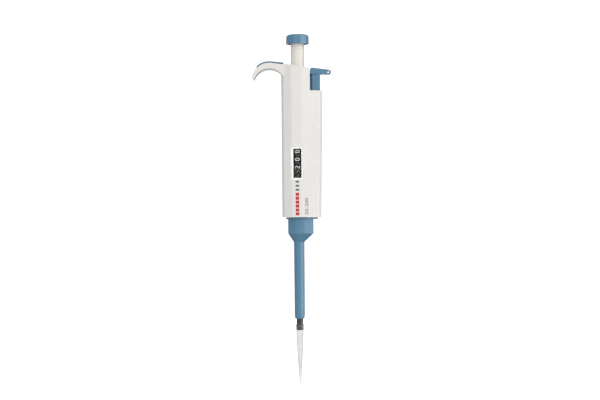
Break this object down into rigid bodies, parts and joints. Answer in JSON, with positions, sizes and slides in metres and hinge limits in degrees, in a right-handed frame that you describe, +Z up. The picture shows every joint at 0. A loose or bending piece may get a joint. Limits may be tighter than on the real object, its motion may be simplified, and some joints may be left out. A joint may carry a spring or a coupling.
{
  "type": "adjustable micropipette",
  "caption": "Hand-held single-channel adjustable pipette with a turning push button, digit counter window, finger hook, thumb-operated tip ejector and one fitted tip.",
  "frame": {"origin": "on the level flat at the top of the finger hook's inner arc, where the pipette hangs, in the middle of the hook's width", "axes": "+Z up along the plunger's axis, from the tip to the push button; +X from the finger hook towards the ejector button; the counter's window faces -Y"},
  "size_m": [0.0643, 0.024, 0.2883],
  "materials": {
    "white_plastic": "fine satin moulded",
    "ivory_plastic": "semi-gloss",
    "blue_plastic": "satin moulded",
    "dark_plastic": "semi-gloss",
    "black_plastic": "satin",
    "natural_plastic": "satin, uncoloured",
    "clear_lens": "clear gloss",
    "tip_plastic": "translucent polypropylene",
    "seal_rubber": "matte",
    "polished_steel": "polished",
    "spring_steel": "drawn wire",
    "turned_brass": "turned"
  },
  "bodies": {
    "handle": {"handle_front": "white_plastic", "handle_back": "white_plastic", "finger_hook": "white_plastic", "hook_pad": "blue_plastic", "window_lens": "clear_lens", "counter_frame": "natural_plastic", "counter_base_ring": "black_plastic", "pinion_shaft": "polished_steel", "setting_nut": "natural_plastic", "brake_ring": "seal_rubber", "top_bush": "dark_plastic", "tip_cone": "dark_plastic", "cone_nut": "turned_brass", "piston_seal": "natural_plastic", "piston_o_ring": "seal_rubber", "seal_retainer": "dark_plastic", "blowout_spring": "spring_steel", "piston_spring": "spring_steel", "ejector_spring": "spring_steel"},
    "volume_drive": {"volume_screw": "turned_brass", "units_wheel": "black_plastic"},
    "tens_digit": {"tens_wheel": "black_plastic"},
    "hundreds_digit": {"hundreds_wheel": "black_plastic"},
    "upper_carry": {"upper_carry_pinion": "natural_plastic"},
    "lower_carry": {"lower_carry_pinion": "natural_plastic"},
    "plunger": {"push_button": "blue_plastic", "button_sleeve": "ivory_plastic", "plunger_rod": "polished_steel", "stop_collar": "turned_brass"},
    "piston_unit": {"piston": "polished_steel", "piston_cap": "natural_plastic"},
    "blowout": {"blowout_seat": "dark_plastic"},
    "ejector": {"ejector_button": "blue_plastic", "ejector_rod": "polished_steel", "ejector_collar": "dark_plastic", "ejector_sleeve": "blue_plastic"},
    "tip": {"pipette_tip": "tip_plastic"}
  },
  "joints": [
    {"name": "volume_turn", "type": "hinge", "parent": "handle", "child": "volume_drive", "pos_m": [0.0232, 0, -0.06], "axis": [0, 0, 1], "range_deg": [-6480, 0]},
    {"name": "tens_turn", "type": "hinge", "parent": "handle", "child": "tens_digit", "pos_m": [0.0232, 0, -0.07], "axis": [0, 0, 1], "range_deg": [-648, 0]},
    {"name": "hundreds_turn", "type": "hinge", "parent": "handle", "child": "hundreds_digit", "pos_m": [0.0232, 0, -0.08], "axis": [0, 0, 1], "range_deg": [-64.8, 0]},
    {"name": "upper_carry_turn", "type": "hinge", "parent": "handle", "child": "upper_carry", "pos_m": [0.03385, 0.00346, -0.07], "axis": [0, 0, 1], "range_deg": [0, 1620]},
    {"name": "lower_carry_turn", "type": "hinge", "parent": "handle", "child": "lower_carry", "pos_m": [0.03385, 0.00346, -0.08], "axis": [0, 0, 1], "range_deg": [0, 162]},
    {"name": "plunger_press", "type": "slide", "parent": "volume_drive", "child": "plunger", "axis": [0, 0, -1], "range_m": [0, 0.0156], "stiffness_N_per_m": 400, "springref_m": -0.008},
    {"name": "piston_press", "type": "slide", "parent": "handle", "child": "piston_unit", "axis": [0, 0, -1], "range_m": [0, 0.0156], "deforming": ["piston_spring"]},
    {"name": "blowout_press", "type": "slide", "parent": "handle", "child": "blowout", "axis": [0, 0, -1], "range_m": [0, 0.003], "deforming": ["blowout_spring"]},
    {"name": "ejector_press", "type": "slide", "parent": "handle", "child": "ejector", "axis": [0, 0, -1], "range_m": [0, 0.0096], "stiffness_N_per_m": 300, "springref_m": -0.006, "deforming": ["ejector_spring"]},
    {"name": "tip_release", "type": "slide", "parent": "handle", "child": "tip", "axis": [0, 0, -1], "range_m": [0, 0.0052]}
  ],
  "couplings": [
    {"joint": "tens_turn", "follows": "volume_turn", "ratio": 0.1},
    {"joint": "hundreds_turn", "follows": "volume_turn", "ratio": 0.01},
    {"joint": "upper_carry_turn", "follows": "volume_turn", "ratio": -0.25},
    {"joint": "lower_carry_turn", "follows": "volume_turn", "ratio": -0.025},
    {"joint": "piston_press", "follows": "plunger_press", "ratio": 1},
    {"joint": "blowout_press", "follows": "plunger_press", "ratio": 0.1923},
    {"joint": "tip_release", "follows": "ejector_press", "ratio": 0.53}
  ]
}
